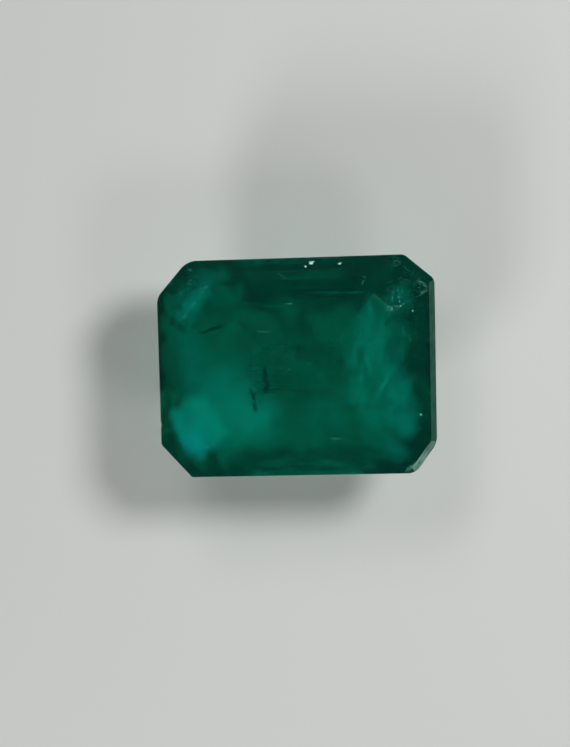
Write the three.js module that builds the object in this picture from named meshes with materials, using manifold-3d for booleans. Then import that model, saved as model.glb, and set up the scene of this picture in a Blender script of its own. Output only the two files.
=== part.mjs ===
// A loose emerald: an eight-sided step cut, also called an emerald cut, in one solid of flat facets.
// Millimetres, +Z up. The stone stands on its culet, the small flat facet underneath, with the table on top.
// The origin is the middle of the outline, on the surface that the culet rests on. The long side is along X.
import * as THREE from "three";
import { ConvexGeometry } from "three/addons/geometries/ConvexGeometry.js";
import { mergeVertices } from "three/addons/utils/BufferGeometryUtils.js";
import Module from "manifold-3d";

// Driving dimensions: the depth of the stone, in its three bands.
const PAVILION_DEPTH = 4.25;
const GIRDLE_THICKNESS = 0.4;
const CROWN_HEIGHT = 1.05;

// The eight sides of the outline, anticlockwise from the right-hand end. It was cut by eye, so no two agree.
// facing: the way the side looks, in degrees from +X. reach: how far its girdle stands from the Z axis.
// crown: how far in from the girdle the table starts, seen from above.
// taper: how fast the side comes in below the girdle, so that the corners stay narrow down to the culet.
// worn: the radius that handling has given to the girdle's corner between this side and the next.
const SIDES = [
  { name: "right end", facing: 0.9, reach: 6.01, crown: 1.94, taper: 1, worn: 0.56 },
  { name: "back right corner", facing: 51.1, reach: 6.66, crown: 2.21, taper: 1.3, worn: 0.57 },
  { name: "back", facing: 91.8, reach: 4.68, crown: 1.4, taper: 1, worn: 1.1 },
  { name: "back left corner", facing: 140.7, reach: 6.56, crown: 2.04, taper: 1.25, worn: 1 },
  { name: "left end", facing: 181.8, reach: 5.97, crown: 1.44, taper: 1, worn: 0.46 },
  { name: "front left corner", facing: 223.4, reach: 6.61, crown: 2.34, taper: 1.25, worn: 0.2 },
  { name: "front", facing: 271, reach: 4.74, crown: 1.97, taper: 1, worn: 0.8 },
  { name: "front right corner", facing: 325, reach: 6.88, crown: 2.1, taper: 1.3, worn: 1.2 },
];

// Rows of facets above the girdle. rise: the row's upper edge, as a share of the crown's height.
// inset: how far in that edge lies, as a share of the side's crown.
const CROWN_ROWS = [
  { rise: 0.16, inset: 0.13 },
  { rise: 0.77, inset: 0.7 },
  { rise: 1, inset: 1 },
];

// Rows of facets below the girdle. drop: the row's lower edge, as a share of the pavilion's depth.
// inset: how far in that edge lies from the girdle, in millimetres, times the side's taper.
const PAVILION_ROWS = [
  { drop: 0.38, inset: 1.15 },
  { drop: 0.72, inset: 2.45 },
  { drop: 1, inset: 3.75 },
];

// Small chips on the upper edge of the girdle. size: length along the edge, width across it and depth.
// along: the distance from the middle of the side, anticlockwise.
const CHIPS = [
  { side: "back", along: -0.6, size: [0.26, 0.16, 0.14] },
  { side: "back", along: -1.88, size: [0.3, 0.12, 0.12] },
  { side: "left end", along: 2.37, size: [0.3, 0.1, 0.3] },
];

// The worn outline: flat steps in each round corner, and how far its straight sides clear the girdle.
const WORN_STEPS = 6;
const WORN_CLEARANCE = 0.01;

// Corners closer than this are one corner.
const WELD_DISTANCE = 1e-5;

const GIRDLE_BOTTOM = PAVILION_DEPTH;
const GIRDLE_TOP = GIRDLE_BOTTOM + GIRDLE_THICKNESS;
const STONE_HEIGHT = GIRDLE_TOP + CROWN_HEIGHT;

// The way that a side faces, as an angle and as a unit vector, and the side after it.
const angleOf = (side) => THREE.MathUtils.degToRad(side.facing);
const facingOf = (side) => new THREE.Vector2(Math.cos(angleOf(side)), Math.sin(angleOf(side)));
const nextTo = (side) => SIDES[(SIDES.indexOf(side) + 1) % SIDES.length];

// The corner where a side meets the next one, when each has come in by insetOf(side).
function cornerAfter(side, insetOf) {
  const next = nextTo(side);
  const [a, b] = [facingOf(side), facingOf(next)];
  const [reachA, reachB] = [side.reach - insetOf(side), next.reach - insetOf(next)];
  const cross = a.cross(b);
  return new THREE.Vector2((reachA * b.y - reachB * a.y) / cross, (reachB * a.x - reachA * b.x) / cross);
}

// The eight corners of the outline at height z.
function ring(z, insetOf) {
  return SIDES.map((side) => {
    const corner = cornerAfter(side, insetOf);
    return new THREE.Vector3(corner.x, corner.y, z);
  });
}

// The faceted stone before any wear: every facet is flat because a side keeps its facing from row to row.
function cutStone() {
  const pavilion = PAVILION_ROWS.map(({ drop, inset }) =>
    ring(GIRDLE_BOTTOM - drop * PAVILION_DEPTH, (side) => inset * side.taper),
  );
  const girdle = [ring(GIRDLE_BOTTOM, () => 0), ring(GIRDLE_TOP, () => 0)];
  const crown = CROWN_ROWS.map(({ rise, inset }) =>
    ring(GIRDLE_TOP + rise * CROWN_HEIGHT, (side) => inset * side.crown),
  );
  return new ConvexGeometry([...pavilion, ...girdle, ...crown].flat());
}

// An upright prism of the outline with its corners worn round, taller than the stone.
function wornOutline() {
  const outline = new THREE.Shape();
  for (const side of SIDES) {
    const centre = cornerAfter(side, () => side.worn - WORN_CLEARANCE);
    outline.absarc(centre.x, centre.y, side.worn, angleOf(side), angleOf(nextTo(side)), false);
  }
  return new THREE.ExtrudeGeometry(outline, {
    depth: 2 * STONE_HEIGHT,
    bevelEnabled: false,
    curveSegments: WORN_STEPS,
  }).translate(0, 0, -STONE_HEIGHT / 2);
}

// An eight-faced pick of broken stone, centred on the girdle's upper edge.
function chipGeometry({ side: name, along, size }) {
  const side = SIDES.find((one) => one.name === name);
  const out = facingOf(side);
  const [length, width, depth] = size;
  return new THREE.OctahedronGeometry(1)
    .scale(width, length / 2, depth)
    .rotateZ(angleOf(side))
    .translate(out.x * side.reach - out.y * along, out.y * side.reach + out.x * along, GIRDLE_TOP);
}

const wasm = await Module();
wasm.setup();

function toSolid(geometry) {
  const bare = geometry.clone();
  bare.deleteAttribute("normal");
  bare.deleteAttribute("uv");
  const merged = mergeVertices(bare, WELD_DISTANCE);
  const vertProperties = new Float32Array(merged.attributes.position.array);
  const triVerts = new Uint32Array(merged.index.array);
  return new wasm.Manifold(new wasm.Mesh({ numProp: 3, vertProperties, triVerts }));
}

function toGeometry(solid) {
  const { vertProperties, triVerts } = solid.getMesh();
  const indexed = new THREE.BufferGeometry()
    .setAttribute("position", new THREE.BufferAttribute(vertProperties, 3))
    .setIndex(new THREE.BufferAttribute(triVerts, 1));
  const faceted = indexed.toNonIndexed();
  faceted.computeVertexNormals();
  return faceted;
}

const worn = toSolid(cutStone()).intersect(toSolid(wornOutline()));
const picks = CHIPS.map((chip) => toSolid(chipGeometry(chip)));
const stone = picks.reduce((solid, pick) => solid.subtract(pick), worn);

const beryl = new THREE.MeshStandardMaterial({ color: 0x02604a, roughness: 0.08, metalness: 0 });

const emerald = new THREE.Mesh(toGeometry(stone), beryl);
emerald.name = "emerald";

const part = new THREE.Group();
part.add(emerald);

export default part;
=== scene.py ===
"""A loose step-cut emerald: polished facets, a ground girdle and the fine inclusions that make it velvety.

Everything is in metres in the part's own frame. The stone lies on its culet with the table facing up, and
the long side runs along X. Sizes inside the classes are in millimetres, and are scaled when a mesh is made.
"""

from __future__ import annotations

import logging
import math
from dataclasses import dataclass, field, replace
from enum import Enum
from typing import Any

import bmesh
import bpy
import numpy as np
from mathutils import Matrix, Vector


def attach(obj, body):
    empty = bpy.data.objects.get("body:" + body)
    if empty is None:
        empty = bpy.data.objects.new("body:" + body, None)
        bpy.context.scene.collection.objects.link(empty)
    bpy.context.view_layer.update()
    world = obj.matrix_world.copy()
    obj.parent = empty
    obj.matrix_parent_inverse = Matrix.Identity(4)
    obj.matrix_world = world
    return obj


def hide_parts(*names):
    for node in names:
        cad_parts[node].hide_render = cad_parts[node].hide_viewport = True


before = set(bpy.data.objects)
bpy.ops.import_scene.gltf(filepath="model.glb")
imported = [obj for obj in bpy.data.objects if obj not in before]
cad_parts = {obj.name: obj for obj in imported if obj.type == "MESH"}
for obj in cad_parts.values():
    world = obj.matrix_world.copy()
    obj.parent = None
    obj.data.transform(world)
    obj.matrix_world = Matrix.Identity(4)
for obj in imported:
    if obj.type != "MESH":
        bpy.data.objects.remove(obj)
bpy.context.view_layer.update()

MM = 0.001
BODY = "root"
NODE = "emerald"
IMAGE_WIDTH, IMAGE_HEIGHT = 570, 747
# The girdle's lowest and highest height, in millimetres.
GIRDLE_LOW, GIRDLE_HIGH = 4.25, 4.65

# Where the noise of grinding streaks turns from the one colour to the other, and its levels of detail.
STREAK_STOPS = (0.38, 0.64)
STREAK_DETAIL = 3.0

log = logging.getLogger("emerald")


def linear(hex_colour: str) -> tuple[float, float, float, float]:
    """Turns an sRGB colour into the linear one that the shaders use.

    Args:
        hex_colour: The colour as "#RRGGBB".

    Returns:
        Linear red, green, blue and an alpha of 1.
    """
    channels = (int(hex_colour[i : i + 2], 16) / 255 for i in (1, 3, 5))
    red, green, blue = (c / 12.92 if c <= 0.04045 else ((c + 0.055) / 1.055) ** 2.4 for c in channels)
    return red, green, blue, 1.0


def add_node(
    tree: bpy.types.NodeTree,
    kind: str,
    settings: dict[str, Any] | None = None,
    sockets: dict[str, Any] | None = None,
    links: dict[str, bpy.types.NodeSocket] | None = None,
) -> bpy.types.Node:
    """Adds one node with its settings, values and incoming links.

    Args:
        tree: The node tree to add to.
        kind: Blender's name of the node type.
        settings: Properties of the node itself.
        sockets: Values of its unlinked inputs.
        links: The output that feeds each linked input.

    Returns:
        The new node.
    """
    node = tree.nodes.new(kind)
    for name, value in (settings or {}).items():
        setattr(node, name, value)
    for name, value in (sockets or {}).items():
        node.inputs[name].default_value = value
    for name, output in (links or {}).items():
        tree.links.new(output, node.inputs[name])
    return node


class Facet(Enum):
    """The kinds of surface on the stone, which are also its material slots."""

    POLISHED = 0
    GROUND = 1
    BROKEN = 2
    FROSTED = 3
    DULLED = 4


@dataclass(frozen=True)
class Beryl:
    """Emerald, the green beryl. The body takes red out fast and blue a little faster than green.

    Fields:
        name: What the surface is and how it was made.
        roughness: From mirror polish to the frost of a ground surface, above the girdle.
        below: The same below the girdle, where the polish is poorer.
        clear: The share of light that passes the surface; the rest is its milky look.
        tint: The colour of the surface.
        passed: The colour that the body lets through; black in a channel is absorbed most.
        density: How fast the body absorbs, per metre.
        ior: Beryl's refractive index.
        streak: The second colour, of the streaks that grinding left; none where it is empty.
        grain: How long the streaks are across, along and up the facet, in millimetres.
        facing: The way the streaked facet looks, in degrees from +X.
    """

    name: str
    roughness: float
    below: float
    clear: float = 0.97
    tint: str = "#10EEE0"
    passed: str = "#00FAF7"
    density: float = 2600.0
    ior: float = 1.577
    streak: str = ""
    grain: tuple[float, float, float] = (1.0, 1.0, 1.0)
    facing: float = 0.0

    def material(self) -> bpy.types.Material:
        """Makes the material: plain transmission, IOR and absorption.

        Returns:
            The material.
        """
        mat = bpy.data.materials.new(self.name)
        mat.use_nodes = True
        tree = mat.node_tree
        tree.nodes.clear()
        surface = add_node(
            tree,
            "ShaderNodeBsdfPrincipled",
            sockets={
                "Base Color": linear(self.tint),
                "Roughness": self.roughness,
                "IOR": self.ior,
                "Transmission Weight": self.clear,
            },
        )
        if self.below != self.roughness:
            tree.links.new(self.polish(tree), surface.inputs["Roughness"])
        if self.streak:
            tree.links.new(self.streaks(tree), surface.inputs["Base Color"])
        body = add_node(
            tree,
            "ShaderNodeVolumeAbsorption",
            sockets={"Color": linear(self.passed), "Density": self.density},
        )
        add_node(
            tree,
            "ShaderNodeOutputMaterial",
            links={"Surface": surface.outputs["BSDF"], "Volume": body.outputs["Volume"]},
        )
        return mat

    def polish(self, tree: bpy.types.NodeTree) -> bpy.types.NodeSocket:
        """Makes the polish poorer below the girdle.

        Args:
            tree: The material's nodes.

        Returns:
            The roughness.
        """
        place = add_node(tree, "ShaderNodeTexCoord")
        parts = add_node(tree, "ShaderNodeSeparateXYZ", links={"Vector": place.outputs["Object"]})
        polish = add_node(
            tree,
            "ShaderNodeMapRange",
            sockets={
                "From Min": GIRDLE_LOW * MM,
                "From Max": GIRDLE_HIGH * MM,
                "To Min": self.below,
                "To Max": self.roughness,
            },
            links={"Value": parts.outputs["Z"]},
        )
        return polish.outputs["Result"]

    def streaks(self, tree: bpy.types.NodeTree) -> bpy.types.NodeSocket:
        """Draws the streaks that grinding left.

        Args:
            tree: The material's nodes.

        Returns:
            The colour.
        """
        place = add_node(tree, "ShaderNodeTexCoord")
        turned = add_node(
            tree,
            "ShaderNodeMapping",
            settings={"vector_type": "TEXTURE"},
            sockets={
                "Rotation": (0.0, 0.0, math.radians(self.facing)),
                "Scale": tuple(size * MM for size in self.grain),
            },
            links={"Vector": place.outputs["Object"]},
        )
        noise = add_node(
            tree,
            "ShaderNodeTexNoise",
            sockets={"Scale": 1.0, "Detail": STREAK_DETAIL},
            links={"Vector": turned.outputs["Vector"]},
        )
        ramp = add_node(tree, "ShaderNodeValToRGB", links={"Fac": noise.outputs["Fac"]})
        stops = zip(ramp.color_ramp.elements, STREAK_STOPS, (self.tint, self.streak))
        for stop, position, colour in stops:
            stop.position = position
            stop.color = linear(colour)
        return ramp.outputs["Color"]


@dataclass(frozen=True)
class InclusionAndPaintedLight:
    """Something caught inside the crystal, seen as a dull grain, sheet or thread; the same finish also
    makes the sheets and grains that paint shade, glow and glints.

    Fields:
        name: What the inclusion is.
        colour: The colour it shows.
        cover: The share of the light that it stops; the rest goes straight through.
        roughness: Its gloss; inclusions are dull.
    """

    name: str
    colour: str
    cover: float = 1.0
    roughness: float = 0.9

    def material(self) -> bpy.types.Material:
        """Makes the dull material of the inclusion or painted mark.

        Returns:
            The material.
        """
        mat = bpy.data.materials.new(self.name)
        mat.use_nodes = True
        tree = mat.node_tree
        tree.nodes.clear()
        surface = add_node(
            tree,
            "ShaderNodeBsdfPrincipled",
            sockets={
                "Base Color": linear(self.colour),
                "Roughness": self.roughness,
                "Specular IOR Level": 0.0,
                "Alpha": self.cover,
            },
        )
        add_node(tree, "ShaderNodeOutputMaterial", links={"Surface": surface.outputs["BSDF"]})
        return mat


# Facets polished to a mirror, so that they show the light in clean flat flashes.
POLISHED = Beryl("polished beryl", roughness=0.03, below=0.14)
# The girdle is left as the lap ground it, so that it looks frosted, with fine upright lines. These lines,
# like the streaks of the other finishes, are drawn coarser than real ones so that they show.
GROUND = Beryl("ground beryl", roughness=0.45, below=0.45, streak="#5FB3A0", grain=(0.05, 0.05, 0.5))
# Small chips break like glass, in bright shells.
BROKEN = Beryl("broken beryl", roughness=0.12, below=0.12)
# One corner facet was never polished after grinding, so that it is pale and dull, in streaks.
FROSTED = Beryl(
    "rough ground beryl",
    roughness=0.7,
    below=0.7,
    clear=0.35,
    tint="#3B7362",
    streak="#9AC6B5",
    grain=(0.07, 0.6, 0.07),
    facing=325,
)
# The outer row at the right end is made rougher, greyer and partly milky, so that its edge is greyer.
DULLED = Beryl(
    "dulled beryl",
    roughness=0.35,
    below=0.35,
    clear=0.7,
    tint="#338A72",
    streak="#5BA690",
    grain=(0.08, 0.5, 0.08),
)

# Healed cracks full of tiny drops of fluid. Each is a faint sheet, and together they look like green silk.
SILK = InclusionAndPaintedLight("green silk in beryl", "#00B898", cover=0.3)
# Painted shade: dark green sheets made like the silk, set where the stone is only shaded, so that those
# parts come out darker.
SHADE = InclusionAndPaintedLight("painted shade sheets in beryl", "#005C48", cover=0.36)
# Paler, bluer silk in the bright patches: partly real silk, partly a painted glow, made paler there to
# stand in for the light that pools in those parts.
TEAL_SILK_AND_GLOW = InclusionAndPaintedLight("teal silk and painted glow in beryl", "#00F8EE", cover=0.175)
# The same paler silk and painted glow, where it thins out.
FAINT = InclusionAndPaintedLight("faint silk and painted glow in beryl", "#00F8EE", cover=0.08)
# Near-white silk close under the surface: partly real silk, partly a painted glow for the brightest spot.
PALE = InclusionAndPaintedLight("pale silk and painted glow in beryl", "#00FAFF", cover=0.3)
# Narrow streaks along the crystal's growth, a little brighter than the silk.
WISP = InclusionAndPaintedLight("growth streak in beryl", "#10FFF4", cover=0.14)
# Flakes of dark mica.
MICA = InclusionAndPaintedLight("mica flake in beryl", "#02140E", cover=0.28)
# Rubbed facet edges and fine scratches, where the polish is broken into pale powder.
RUBBED = InclusionAndPaintedLight("rubbed beryl", "#8EDCC2", cover=0.6)
# Painted glints: matt white grains with no reflection of their own, standing for the light that the chips
# throw back.
GLINT = InclusionAndPaintedLight("painted chip glint", "#F2FFFA", roughness=0.4)


@dataclass
class CutStone:
    """The faceted stone, made from the solid by rubbing its edges and dressing its facets.

    Fields:
        weld: Corners closer than this, in millimetres, are one corner.
        flat: Faces that meet at less than this, in degrees, are one facet.
        wear: Width of the rubbed facet edges, in millimetres.
        shortest: Edges shorter than this, in millimetres, stay sharp.
        chip_area: Faces smaller than this, in square millimetres, are broken surface.
        upright: The girdle's faces have normals that rise less than this.
        rising: The crown's faces have normals that rise more than this.
        girdle_play: How far past the girdle its faces may be centred, in millimetres.
        outer_row: How far above the girdle the outer row's faces may be centred, in millimetres.
        frosted: The way the frosted corner facet looks, in degrees from +X.
        dulled: The same for the row with the rougher, greyer finish.
        facing_play: How far off those ways a face may look, in degrees.
        planes: The normal of each facet and its distance from the origin, found by build.
    """

    weld: float = 0.001
    flat: float = 0.5
    wear: float = 0.02
    shortest: float = 0.4
    chip_area: float = 0.12
    upright: float = 0.05
    rising: float = 0.1
    girdle_play: float = 0.1
    outer_row: float = 0.35
    frosted: float = 325.0
    dulled: float = 0.9
    facing_play: float = 5.0
    planes: np.ndarray = field(init=False)

    def build(self, solid: bpy.types.Object) -> bpy.types.Object:
        """Makes the visible stone.

        Args:
            solid: The part's own solid, which is only read.

        Returns:
            The stone's object.
        """
        shape = bmesh.new()
        shape.from_mesh(solid.data)
        bmesh.ops.scale(shape, vec=(1 / MM,) * 3, verts=shape.verts)
        bmesh.ops.remove_doubles(shape, verts=shape.verts, dist=self.weld)
        bmesh.ops.dissolve_limit(
            shape, angle_limit=math.radians(self.flat), verts=shape.verts, edges=shape.edges
        )
        shape.normal_update()
        facets = [f for f in shape.faces if f.calc_area() > self.chip_area]
        self.planes = np.array([(*f.normal, f.normal.dot(f.calc_center_median())) for f in facets])
        for face in shape.faces:
            face.material_index = self.kind(face).value
        self.rub(shape)
        bmesh.ops.scale(shape, vec=(MM,) * 3, verts=shape.verts)
        mesh = bpy.data.meshes.new("step_cut_emerald")
        shape.to_mesh(mesh)
        shape.free()
        for finish in (POLISHED, GROUND, BROKEN, FROSTED, DULLED):
            mesh.materials.append(finish.material())
        stone = bpy.data.objects.new("step_cut_emerald", mesh)
        bpy.context.scene.collection.objects.link(stone)
        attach(stone, BODY)
        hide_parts(NODE)
        return stone

    def kind(self, face: bmesh.types.BMFace) -> Facet:
        """Tells what kind of surface a face is.

        Args:
            face: A face of the unworn stone, in millimetres.

        Returns:
            The kind of surface.
        """
        height = face.calc_center_median().z
        near_girdle = GIRDLE_LOW - self.girdle_play < height < GIRDLE_HIGH + self.girdle_play
        if abs(face.normal.z) < self.upright and near_girdle:
            return Facet.GROUND
        if face.calc_area() < self.chip_area:
            return Facet.BROKEN
        facing = math.degrees(math.atan2(face.normal.y, face.normal.x)) % 360
        if GIRDLE_HIGH < height < GIRDLE_HIGH + self.outer_row:
            if abs(facing - self.frosted) < self.facing_play:
                return Facet.FROSTED
            if abs(facing - self.dulled) < self.facing_play:
                return Facet.DULLED
        return Facet.POLISHED

    def rub(self, shape: bmesh.types.BMesh) -> None:
        """Rounds the edges between facets, as handling does.

        Args:
            shape: The stone in millimetres, which is changed.
        """
        edges = [
            e
            for e in shape.edges
            if len(e.link_faces) == 2
            and e.calc_length() > self.shortest
            and all(f.calc_area() > self.chip_area for f in e.link_faces)
        ]
        bmesh.ops.bevel(
            shape,
            geom=edges,
            offset=self.wear,
            segments=2,
            profile=0.5,
            affect="EDGES",
            clamp_overlap=True,
            material=-1,
        )

    def inside(self, points: np.ndarray, margin: float) -> np.ndarray:
        """Tells which points lie inside the stone.

        Args:
            points: Points in millimetres, one in each row.
            margin: The least depth below every facet, in millimetres.

        Returns:
            True for each point inside.
        """
        return (points @ self.planes[:, :3].T - self.planes[:, 3] < -margin).all(axis=1)

    def crown(self, points: np.ndarray) -> tuple[np.ndarray, np.ndarray]:
        """Finds the planes of the table and crown, and how high they pass over points.

        Args:
            points: X and Y in millimetres, one point in each row.

        Returns:
            The planes, and the height of each plane at each point, in millimetres.
        """
        up = self.planes[self.planes[:, 2] > self.rising]
        return up, (up[:, 3] - points[:, :2] @ up[:, :2].T) / up[:, 2]

    def top(self, points: np.ndarray) -> np.ndarray:
        """Finds the height of the table or crown above points.

        Args:
            points: X and Y in millimetres, one point in each row.

        Returns:
            The height at each point, in millimetres.
        """
        _, heights = self.crown(points)
        return heights.min(axis=1)

    def facing(self, points: np.ndarray) -> np.ndarray:
        """Finds the way that the facet above each point faces.

        Args:
            points: X and Y in millimetres, one point in each row.

        Returns:
            The facet's normal at each point.
        """
        up, heights = self.crown(points)
        return up[heights.argmin(axis=1), :3]


@dataclass(frozen=True)
class Veil:
    """A heap of faint sheets along a line.

    Fields:
        line: X and Y of the line's points, in millimetres; one point for a round heap.
        depth: How deep its middle lies below the top surface, in millimetres.
        spread: How far the sheets' middles stray along X, Y and Z, in millimetres.
        count: How many sheets it has.
        size: Half the sheets' length, in millimetres.
        tilt: How far the sheets lean from level, in degrees.
        narrow: The sheets' width, as a share of their length.
        turn: Which way their length runs, in degrees from +X; any way where it is None.
    """

    line: tuple[tuple[float, float], ...]
    depth: float
    spread: tuple[float, float, float]
    count: int
    size: float
    tilt: float = 22.0
    narrow: float = 0.7
    turn: float | None = None


@dataclass(frozen=True)
class Trail:
    """A streak of pale grains on the surface.

    Fields:
        line: X and Y of its points, in millimetres.
        width: Its width, in millimetres.
        count: How many grains it has.
        size: The grains' size, in millimetres.
    """

    line: tuple[tuple[float, float], ...]
    width: float
    count: int
    size: float = 0.018


# The even haze under the table, the front, the left end and its corners, and fine growth lines through it.
SILK_VEILS = (
    Veil(((-0.3, -0.3),), 1.6, (4.2, 2.7, 1.2), 150, 1.15),
    Veil(((-3.0, -3.4), (4.4, -3.3)), 0.6, (0.5, 0.5, 0.4), 44, 0.75),
    Veil(((-3.4, -4.05), (4.2, -4.05)), 0.4, (0.4, 0.25, 0.25), 24, 0.5),
    Veil(((-4.9, -3.5), (-3.9, -4.2)), 0.3, (0.2, 0.2, 0.15), 14, 0.45),
    Veil(((-5.3, 1.8), (-5.4, -2.0)), 0.6, (0.25, 0.5, 0.35), 16, 0.6),
    Veil(((-5.5, -0.6), (-5.5, -2.6)), 0.45, (0.2, 0.2, 0.25), 7, 0.5),
    Veil(((-5.5, 2.9), (-5.55, 0.8)), 0.35, (0.15, 0.2, 0.15), 18, 0.4),
    Veil(((-3.3, 3.0), (-2.6, 3.1)), 0.4, (0.3, 0.25, 0.2), 8, 0.5),
    Veil(((-0.5, 0.2),), 0.9, (4.0, 2.6, 0.6), 50, 1.0, 10, 0.06, 0),
)

# Painted shade: dark sheets under the crown at the back, at both ends and along the front, and under the
# table's dim back, to darken them.
SHADE_VEILS = (
    Veil(((-2.4, 3.9), (3.4, 4.0)), 0.6, (0.5, 0.35, 0.35), 66, 0.7),
    Veil(((5.1, 2.6), (5.2, -2.0)), 0.6, (0.35, 0.5, 0.35), 50, 0.6),
    Veil(((-1.2, 2.4), (1.4, 2.4)), 0.9, (0.4, 0.35, 0.3), 8, 0.8),
    Veil(((-5.55, -0.7), (-5.55, -2.4)), 0.3, (0.15, 0.2, 0.15), 18, 0.4),
    Veil(((-3.0, -3.85), (3.5, -3.85)), 0.17, (0.3, 0.32, 0.05), 30, 0.8, 6, 0.3, 0),
    Veil(((-2.4, -4.38), (2.8, -4.4)), 0.2, (0.3, 0.1, 0.04), 40, 0.5, 4, 0.25, 0),
)

# Painted glow in the silk: along the front, the bright front left corner, the back left corner and the wide
# patch to the right.
TEAL_SILK_GLOW_VEILS = (
    Veil(((-3.3, -2.2), (-1.5, -2.3)), 0.8, (0.7, 0.8, 0.35), 56, 1.0),
    Veil(((-4.3, -1.9), (-3.9, -3.0)), 0.5, (0.55, 0.5, 0.3), 106, 0.7),
    Veil(((-5.2, -2.1), (-4.6, -3.2)), 0.35, (0.18, 0.2, 0.15), 40, 0.45),
    Veil(((-4.95, 1.95), (-3.95, 3.35)), 0.35, (0.25, 0.25, 0.2), 28, 0.5),
    Veil(((3.1, 1.6), (2.9, -0.3), (3.7, -1.9)), 0.9, (0.8, 0.7, 0.45), 46, 1.0, 22, 0.4, 78),
    Veil(((4.0, 0.0), (4.5, -1.4), (4.2, -2.6)), 0.6, (0.4, 0.5, 0.3), 11, 0.8),
)

# Thinner painted glow in the silk: behind the front left corner, in the back left one, at the left end, to
# the right and in front.
FAINT_VEILS = (
    Veil(((-3.4, -0.5), (-2.5, -1.1)), 0.8, (0.8, 0.7, 0.35), 40, 1.0),
    Veil(((-5.3, 2.6), (-4.4, 3.6), (-3.0, 3.9)), 0.4, (0.3, 0.3, 0.2), 24, 0.7),
    Veil(((-4.7, 1.5), (-4.6, -1.2)), 0.6, (0.4, 0.3, 0.3), 22, 0.8),
    Veil(((4.3, 3.3), (4.5, 2.5)), 0.4, (0.35, 0.35, 0.25), 11, 0.6),
    Veil(((4.6, -1.2), (5.0, -1.9), (4.5, -2.9)), 0.4, (0.3, 0.35, 0.2), 30, 0.6),
    Veil(((4.3, 1.6), (4.4, 0.0)), 0.4, (0.25, 0.3, 0.2), 14, 0.6),
    Veil(((3.6, -3.6), (4.6, -3.7)), 0.35, (0.3, 0.25, 0.15), 16, 0.5),
    Veil(((0.4, -2.1), (2.2, -2.1)), 0.9, (0.6, 0.6, 0.4), 18, 0.9),
)

# Painted glow: the brightest spot, in the front left corner.
PALE_VEILS = (Veil(((-4.5, -3.0), (-4.27, -3.5)), 0.32, (0.2, 0.2, 0.16), 120, 0.45, 8),)

# Growth streaks to the right, and one along the back.
WISP_VEILS = (
    Veil(((3.05, 2.75), (3.2, 2.1)), 0.3, (0.12, 0.08, 0.06), 12, 0.3, 10, 0.3, 95),
    Veil(((3.05, 2.1), (3, 1.3), (2.5, 0.65), (2.35, 0.05)), 0.4, (0.14, 0.1, 0.1), 36, 0.3, 10, 0.2, 75),
    Veil(((3.0, 0.45), (3.12, -0.3)), 0.35, (0.08, 0.08, 0.06), 14, 0.3, 10, 0.2, 100),
    Veil(((4.55, 1.7), (4.5, 0.25)), 0.3, (0.04, 0.1, 0.06), 22, 0.25, 10, 0.15, 90),
    Veil(((3.95, -0.3), (3.5, -1.2)), 0.35, (0.08, 0.08, 0.06), 16, 0.3, 10, 0.2, 65),
    Veil(((0.5, 3.15), (2.7, 3.15)), 0.25, (0.1, 0.03, 0.05), 14, 0.3, 10, 0.1, 0),
)

# Two dark flakes near the middle, one to the left, a growth line at the back and specks at the front.
MICA_VEILS = (
    Veil(((-4.1, 1.4), (-3.3, 1.7)), 0.35, (0.06, 0.03, 0.05), 34, 0.22, 12, 0.25, 21),
    Veil(((-1.38, -0.2), (-1.3, -1.15)), 0.5, (0.08, 0.06, 0.08), 24, 0.26, 15, 0.4, 88),
    Veil(((-1.98, -1.05), (-1.86, -1.5)), 0.45, (0.05, 0.05, 0.06), 18, 0.17, 15, 0.45, 110),
    Veil(((-1.78, -1.15), (-1.9, -1.35)), 0.45, (0.04, 0.05, 0.06), 10, 0.14, 15, 0.4, 55),
    Veil(((-1.86, -1.6), (-1.76, -2.0)), 0.45, (0.05, 0.05, 0.06), 14, 0.12),
    Veil(((0.6, 2.97), (2.1, 2.97)), 0.3, (0.1, 0.03, 0.05), 24, 0.3, 10, 0.12, 0),
    Veil(((-2.07, -4.35), (-1.1, -4.42)), 0.15, (0.05, 0.04, 0.04), 18, 0.1),
)

# The rings of a sheet, as shares of its radius, and how much each covers, so that it fades to its edge.
SHEET_RINGS = (0.3, 0.5, 0.7, 0.85, 1.0)
SHEET_FADE = (1.0, 0.8, 0.55, 0.3, 0.1)
SHEET_CORNERS = 12

# How far the sheets stray from their heap's size, as shares of it, and from its turn, in degrees.
SIZE_STRAY = (0.6, 1.4)
TURN_STRAY = 7.0
# How uneven a sheet's edge is, in how many waves, and how far it bends, as shares of its radius.
EDGE_WAVE = 0.15
EDGE_WAVES = 3
SHEET_BEND = 0.12
# A direction that nears a facet by less than this, as a share of its length, runs along it.
ALONG_FACET = 1e-6
# Middles that are tried for each sheet, because some fall outside the stone.
MIDDLE_TRIES = 4
# Steps that spread the sheets evenly in four directions: powers of the root of x^5 = x + 1.
EVEN_STEPS = 1.1673039782614187 ** -np.arange(1.0, 5.0)

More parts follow.
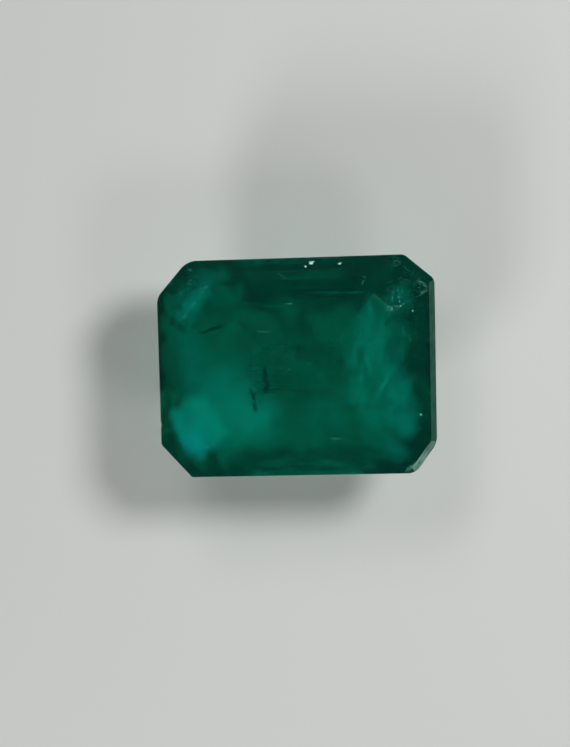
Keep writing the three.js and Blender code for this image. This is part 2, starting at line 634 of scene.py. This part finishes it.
# Along the lines where facets meet, then scratches, specks and dull patches on the facets.
RUBS = (
    Trail(((5.16, 3.66), (5.47, 3.53), (5.64, 3.36), (5.51, 3.18), (5.34, 3.14)), 0.17, 64, 0.028),
    Trail(((5.60, 3.23), (4.04, 2.36)), 0.03, 60),
    Trail(((3.78, 2.6), (4.05, 2.4), (4.27, 2.56)), 0.26, 52, 0.03),
    Trail(((3.28, 3.1), (3.9, 2.5)), 0.06, 24, 0.022),
    Trail(((4.14, 3.45), (4.1, 2.75)), 0.1, 12, 0.034),
    Trail(((4.36, 3.15), (4.42, 2.8)), 0.2, 9, 0.034),
    Trail(((4.42, 2.56), (4.48, 2.58)), 0.03, 6, 0.045),
    Trail(((2.74, 3.48), (2.97, 3.87)), 0.08, 11, 0.03),
    Trail(((4.12, 4.6), (4.3, 4.4)), 0.36, 24, 0.024),
    Trail(((-4.97, 1.93), (-3.97, 3.35)), 0.08, 40),
    Trail(((-4.23, 3.31), (-3.84, 3.40)), 0.06, 30),
    Trail(((-4.72, 4.2), (-4.55, 4.1)), 0.06, 24),
    Trail(((-4.40, -4.18), (-3.71, -3.35)), 0.05, 26),
    Trail(((-0.55, 2.66), (-0.21, 2.66)), 0.03, 30),
    Trail(((-1.72, 1.45), (-1.11, 1.45)), 0.03, 24),
    Trail(((1.40, -3.14), (1.92, -3.14)), 0.03, 36),
    Trail(((-0.85, 4.0), (-0.47, 3.74)), 0.04, 24),
    Trail(((4.97, 2.36), (5.02, 2.36)), 0.05, 12, 0.04),
    Trail(((5.33, -2.08), (5.36, -2.12)), 0.05, 12, 0.04),
    Trail(((4.79, 1.3), (4.88, 1.1)), 0.04, 14),
    Trail(((5.06, 0.42), (5.1, 0.4)), 0.03, 6),
    Trail(((-0.36, -0.15), (-0.32, -0.15)), 0.04, 8),
    Trail(((-3.52, -1.84), (-3.48, -1.84)), 0.04, 8),
    Trail(((4.1, 4.72), (5.75, 3.35)), 0.04, 40),
    Trail(((-2.9, 4.62), (3.9, 4.76)), 0.03, 60),
    Trail(((4.75, -4.58), (5.2, -4.22)), 0.2, 160, 0.024),
    Trail(((4.4, 3.9), (5.4, 3.2)), 0.8, 90, 0.022),
    Trail(((-5.3, 3.0), (-4.4, 3.9)), 0.6, 44, 0.024),
    Trail(((-3.6, 0.2), (3.8, 0.0)), 4.5, 200, 0.019),
)
# Painted glints: white grains beside the two chips at the back.
GLINTS = (
    Trail(((0.54, 4.42), (0.72, 4.46)), 0.07, 16, 0.07),
    Trail(((0.34, 4.3), (0.41, 4.29)), 0.04, 7, 0.04),
    Trail(((1.73, 4.42), (1.83, 4.40), (1.9, 4.46)), 0.05, 12, 0.045),
)
# Rub marks stand this far out of the facet, in millimetres, so that they cover it.
RUB_HEIGHT = 0.004
# A trail is this many standard deviations wide, and the logarithm of its grains' size has this one.
TRAIL_DEVIATIONS = 3
GRAIN_DEVIATION = 0.3
# A grain with even sides, in shares of a side: from its middle to its tip and its base, and half its base.
GRAIN_TIP, GRAIN_BASE, GRAIN_HALF = 0.58, 0.29, 0.5


@dataclass
class Garden:
    """The inclusions inside the stone, which jewellers call its garden, and the marks of wear on it, with
    the sheets and grains that paint shade, glow and glints among them.

    Fields:
        stone: The stone that holds them.
        margin: The least depth of the silk below any facet, in millimetres.
        seed: Where the random placing starts.
        dice: The random numbers, started by build.
    """

    stone: CutStone
    margin: float = 0.08
    seed: int = 11
    dice: np.random.Generator = field(init=False)

    def build(self) -> list[bpy.types.Object]:
        """Makes all the inclusions and marks, with the painted shade, glow and glints.

        Returns:
            Their objects.
        """
        self.dice = np.random.default_rng(self.seed)
        return [
            self.sheets("silk_veil", SILK_VEILS, SILK),
            # The dark sheets paint shade, the teal, faint and pale sheets also paint glow, and the grains
            # beside the chips are painted glints.
            self.sheets("painted_shade_sheets", SHADE_VEILS, SHADE),
            self.sheets("teal_silk_and_painted_glow", TEAL_SILK_GLOW_VEILS, TEAL_SILK_AND_GLOW),
            self.sheets("faint_silk_and_painted_glow", FAINT_VEILS, FAINT),
            self.sheets("pale_silk_and_painted_glow", PALE_VEILS, PALE),
            self.sheets("growth_streaks", WISP_VEILS, WISP),
            self.sheets("mica_flakes", MICA_VEILS, MICA),
            self.marks("rub_marks", RUBS, RUBBED),
            self.marks("painted_chip_glints", GLINTS, GLINT),
        ]

    def sheets(self, name: str, veils: tuple[Veil, ...], finish: InclusionAndPaintedLight) -> bpy.types.Object:
        """Makes heaps of faint sheets that fade to their edges.

        Args:
            name: The object's name.
            veils: The heaps.
            finish: What they are made of.

        Returns:
            One object with all the sheets.
        """
        rings, corners = len(SHEET_RINGS), SHEET_CORNERS
        verts: list[np.ndarray] = []
        faces: list[list[int]] = []
        slots: list[int] = []
        for veil in veils:
            for middle in self.middles(veil):
                start = len(verts) * (1 + rings * corners)
                verts.append(self.sheet(middle, veil))
                for ring in range(rings):
                    for k in range(corners):
                        a = start + 1 + ring * corners + k
                        b = start + 1 + ring * corners + (k + 1) % corners
                        inner = [start] if ring == 0 else [b - corners, a - corners]
                        faces.append([a, b, *inner])
                        slots.append(ring)
        finishes = [replace(finish, cover=finish.cover * share) for share in SHEET_FADE]
        made = self.piece(name, np.concatenate(verts), faces, *finishes)
        made.data.polygons.foreach_set("material_index", slots)
        made.data.polygons.foreach_set("use_smooth", [True] * len(faces))
        return made

    def middles(self, veil: Veil) -> np.ndarray:
        """Scatters the middles of a heap's sheets.

        Args:
            veil: The heap.

        Returns:
            The middles inside the stone, in millimetres.
        """
        start = self.dice.uniform(0, 1, len(EVEN_STEPS))
        even = (start + np.arange(MIDDLE_TRIES * veil.count)[:, None] * EVEN_STEPS) % 1
        stray = (2 * even[:, 1:] - 1) * np.array(veil.spread)
        flat = self.along(veil.line, even[:, 0]) + stray[:, :2]
        points = np.column_stack([flat, self.stone.top(flat) - veil.depth + stray[:, 2]])
        return points[self.stone.inside(points, 2 * self.margin)][: veil.count]

    def sheet(self, middle: np.ndarray, veil: Veil) -> np.ndarray:
        """Makes one sheet: an uneven, slightly bent disc that stays inside the stone.

        Args:
            middle: The sheet's middle, in millimetres.
            veil: The heap it belongs to.

        Returns:
            Its corners, the middle first and then ring by ring, in millimetres.
        """
        lean = math.radians(veil.tilt)
        normal = np.array([*self.dice.normal(0, math.tan(lean), 2), 1.0])
        normal /= np.linalg.norm(normal)
        if veil.turn is None:
            turn = self.dice.uniform(0, 2 * math.pi)
        else:
            turn = math.radians(self.dice.normal(veil.turn, TURN_STRAY))
        across = np.cross(normal, (math.cos(turn), math.sin(turn), 0.0))
        across /= np.linalg.norm(across)
        along = np.cross(across, normal)
        angles = np.linspace(0, 2 * math.pi, SHEET_CORNERS, endpoint=False)
        phases = self.dice.uniform(0, 2 * math.pi, EDGE_WAVES)
        waves = sum(np.sin((i + 2) * angles + phases[i]) for i in range(EDGE_WAVES))
        reach = veil.size * self.dice.uniform(*SIZE_STRAY) * (1 + EDGE_WAVE * waves)
        flat = np.cos(angles)[:, None] * along + veil.narrow * np.sin(angles)[:, None] * across
        bend = SHEET_BEND * np.sin(2 * angles + phases[0])[:, None] * normal
        planes = self.stone.planes
        steep = (flat + bend) @ planes[:, :3].T
        room = planes[:, 3] - self.margin - middle @ planes[:, :3].T
        nears = room / np.maximum(steep, ALONG_FACET)
        limit = np.where(steep > ALONG_FACET, nears, np.inf).min(axis=1)
        reach = np.minimum(reach, limit)[:, None]
        rings = [middle + share * reach * (flat + share * bend) for share in SHEET_RINGS]
        return np.concatenate([middle[None], *rings])

    def along(self, line: tuple[tuple[float, float], ...], shares: np.ndarray) -> np.ndarray:
        """Finds points along a line.

        Args:
            line: X and Y of its points, in millimetres.
            shares: How far along each point lies, as a share of the line's length.

        Returns:
            X and Y of the points, in millimetres.
        """
        ends = np.array(line)
        step = np.linalg.norm(np.diff(ends, axis=0), axis=1)
        reach = np.concatenate([[0], np.cumsum(step)])
        return np.stack([np.interp(shares * reach[-1], reach, ends[:, i]) for i in (0, 1)], axis=1)

    def marks(self, name: str, trails: tuple[Trail, ...], finish: InclusionAndPaintedLight) -> bpy.types.Object:
        """Makes three-cornered grains that lie on the facets.

        Args:
            name: The object's name.
            trails: The streaks of grains.
            finish: What they are made of.

        Returns:
            One object with all the grains.
        """
        flat = np.concatenate(
            [
                self.along(trail.line, self.dice.uniform(0, 1, trail.count))
                + self.dice.normal(0, trail.width / TRAIL_DEVIATIONS, (trail.count, 2))
                for trail in trails
            ]
        )
        size = np.repeat([trail.size for trail in trails], [trail.count for trail in trails])
        held = self.stone.inside(np.column_stack([flat, self.stone.top(flat) - RUB_HEIGHT]), 0.0)
        flat, size, count = flat[held], size[held], held.sum()
        places = np.column_stack([flat, self.stone.top(flat) + RUB_HEIGHT])
        facing = self.stone.facing(flat)
        tip = np.cross(facing, self.dice.normal(0, 1, (count, 3)))
        tip /= np.linalg.norm(tip, axis=1)[:, None]
        side = np.cross(facing, tip)
        size = (size * self.dice.lognormal(0, GRAIN_DEVIATION, count))[:, None]
        base = places - tip * size * GRAIN_BASE
        half = side * size * GRAIN_HALF
        corners = np.stack([places + tip * size * GRAIN_TIP, base + half, base - half], axis=1)
        faces = np.arange(3 * count).reshape(-1, 3)
        return self.piece(name, corners.reshape(-1, 3), faces.tolist(), finish)

    def piece(
        self, name: str, verts: np.ndarray, faces: list[list[int]], *finishes: InclusionAndPaintedLight
    ) -> bpy.types.Object:
        """Makes one object of the part from corners and faces.

        Args:
            name: The object's name.
            verts: Its corners, in millimetres.
            faces: The corners of each face.
            finishes: What it is made of, one for each material slot.

        Returns:
            The object.
        """
        mesh = bpy.data.meshes.new(name)
        mesh.from_pydata((verts * MM).tolist(), [], faces)
        for finish in finishes:
            mesh.materials.append(finish.material())
        made = bpy.data.objects.new(name, mesh)
        bpy.context.scene.collection.objects.link(made)
        made.visible_shadow = False
        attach(made, BODY)
        return made


@dataclass(frozen=True)
class Lamp:
    """A round soft lamp.

    Fields:
        name: Its job.
        azimuth: Where it stands, in degrees from +X.
        lean: How far it stands from straight above, in degrees.
        distance: How far it is from the stone, in millimetres.
        diameter: Its size, in millimetres.
        power: Its power, in watts.
    """

    name: str
    azimuth: float
    lean: float
    distance: float
    diameter: float
    power: float

    def build(self) -> None:
        """Adds the lamp, aimed at the stone."""
        data = bpy.data.lights.new(self.name, "AREA")
        data.shape = "DISK"
        data.size = self.diameter * MM
        data.energy = self.power
        lamp = bpy.data.objects.new(self.name, data)
        bpy.context.scene.collection.objects.link(lamp)
        lamp.visible_camera = False
        lean, azimuth = math.radians(self.lean), math.radians(self.azimuth)
        out = math.sin(lean)
        way = Vector((out * math.cos(azimuth), out * math.sin(azimuth), math.cos(lean)))
        aim = way.to_track_quat("Z", "Y").to_matrix().to_4x4()
        lamp.matrix_world = Matrix.Translation(way * self.distance * MM) @ aim


# The lamps stand in the gaps between the directions that the crown's facets mirror towards the camera.
LAMPS = (
    Lamp("window right", 30, 38, 130, 40, 0.075),
    Lamp("window back", 110, 42, 130, 40, 0.014),
    Lamp("fill left", 133, 35, 130, 38, 0.012),
    Lamp("fill front", 243, 61, 130, 38, 0.056),
    Lamp("fill right", 310, 48, 130, 38, 0.018),
)


# How often light may bounce in the stone, and how many faint sheets it may pass.
BOUNCES = {
    "max_bounces": 12,
    "diffuse_bounces": 10,
    "transmission_bounces": 10,
    "glossy_bounces": 8,
    "transparent_max_bounces": 128,
}


@dataclass
class Studio:
    """The pale floor, the soft lamps, the dim room and the camera.

    Fields:
        floor_colour: The floor's colour.
        floor_roughness: The floor's roughness; it is matt.
        floor_reach: Half the floor's width, in millimetres.
        room_colour: The colour of the room's light.
        room: The brightness of the room near the horizon and overhead.
        room_heights: Where it turns from the one to the other, as the sine of the height.
        middle: Where the stone's middle lies in the image, in pixels.
        scale: Pixels to a millimetre at the girdle.
        girdle: The girdle's height, in millimetres.
        distance: From the girdle to the camera, in millimetres.
        sensor: Width of the camera's sensor, in millimetres.
        clip: The nearest and farthest that it sees, in metres.
    """

    floor_colour: str = "#E8EBE8"
    floor_roughness: float = 0.7
    floor_reach: float = 400.0
    room_colour: str = "#F4FBF8"
    room: tuple[float, float] = (0.03, 0.015)
    room_heights: tuple[float, float] = (0.1, 0.4)
    middle: tuple[float, float] = (297.02, 365.81)
    scale: float = 23.1
    girdle: float = GIRDLE_HIGH
    distance: float = 115.6
    sensor: float = 36.0
    clip: tuple[float, float] = (0.001, 10.0)

    def build(self) -> None:
        """Sets up everything around the stone."""
        self.floor()
        for lamp in LAMPS:
            lamp.build()
        self.world()
        self.camera()

    def floor(self) -> None:
        """Lays the floor under the culet."""
        mesh = bpy.data.meshes.new("floor")
        r = self.floor_reach * MM
        mesh.from_pydata([(-r, -r, 0), (r, -r, 0), (r, r, 0), (-r, r, 0)], [], [(0, 1, 2, 3)])
        mat = bpy.data.materials.new("matt paper")
        mat.use_nodes = True
        surface = mat.node_tree.nodes["Principled BSDF"]
        surface.inputs["Base Color"].default_value = linear(self.floor_colour)
        surface.inputs["Roughness"].default_value = self.floor_roughness
        mesh.materials.append(mat)
        floor = bpy.data.objects.new("floor", mesh)
        bpy.context.scene.collection.objects.link(floor)

    def world(self) -> None:
        """Makes the room: a dim glow near the horizon, darker above."""
        world = bpy.data.worlds.new("room")
        bpy.context.scene.world = world
        world.use_nodes = True
        tree = world.node_tree
        tree.nodes.clear()
        way = add_node(tree, "ShaderNodeTexCoord")
        parts = add_node(tree, "ShaderNodeSeparateXYZ", links={"Vector": way.outputs["Generated"]})
        glow = add_node(
            tree,
            "ShaderNodeMapRange",
            sockets={
                "From Min": self.room_heights[0],
                "From Max": self.room_heights[1],
                "To Min": self.room[0],
                "To Max": self.room[1],
            },
            links={"Value": parts.outputs["Z"]},
        )
        light = add_node(
            tree,
            "ShaderNodeBackground",
            sockets={"Color": linear(self.room_colour)},
            links={"Strength": glow.outputs["Result"]},
        )
        add_node(tree, "ShaderNodeOutputWorld", links={"Surface": light.outputs["Background"]})

    def camera(self) -> None:
        """Sets the camera straight above, with the stone where the image has it."""
        data = bpy.data.cameras.new("camera")
        data.sensor_width = self.sensor
        data.lens = self.sensor * self.distance * self.scale / IMAGE_HEIGHT
        data.clip_start, data.clip_end = self.clip
        x = (IMAGE_WIDTH / 2 - self.middle[0]) / self.scale
        y = (self.middle[1] - IMAGE_HEIGHT / 2) / self.scale
        camera = bpy.data.objects.new("camera", data)
        camera.location = Vector((x, y, self.girdle + self.distance)) * MM
        bpy.context.scene.collection.objects.link(camera)
        scene = bpy.context.scene
        scene.camera = camera
        scene.view_settings.view_transform = "Standard"
        for kind, count in BOUNCES.items():
            setattr(scene.cycles, kind, count)


def main() -> None:
    """Builds the stone, its inclusions with their painted shade, glow and glints, and the studio."""
    logging.basicConfig(level=logging.INFO, format="%(message)s")
    stone = CutStone()
    made = stone.build(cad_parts[NODE])
    log.info("%s: %d faces", made.name, len(made.data.polygons))
    for piece in Garden(stone).build():
        log.info("%s: %d faces", piece.name, len(piece.data.polygons))
    Studio().build()
    log.info("studio: floor, %d lamps and camera", len(LAMPS))
    bpy.context.view_layer.update()


if __name__ == "__main__":
    main()
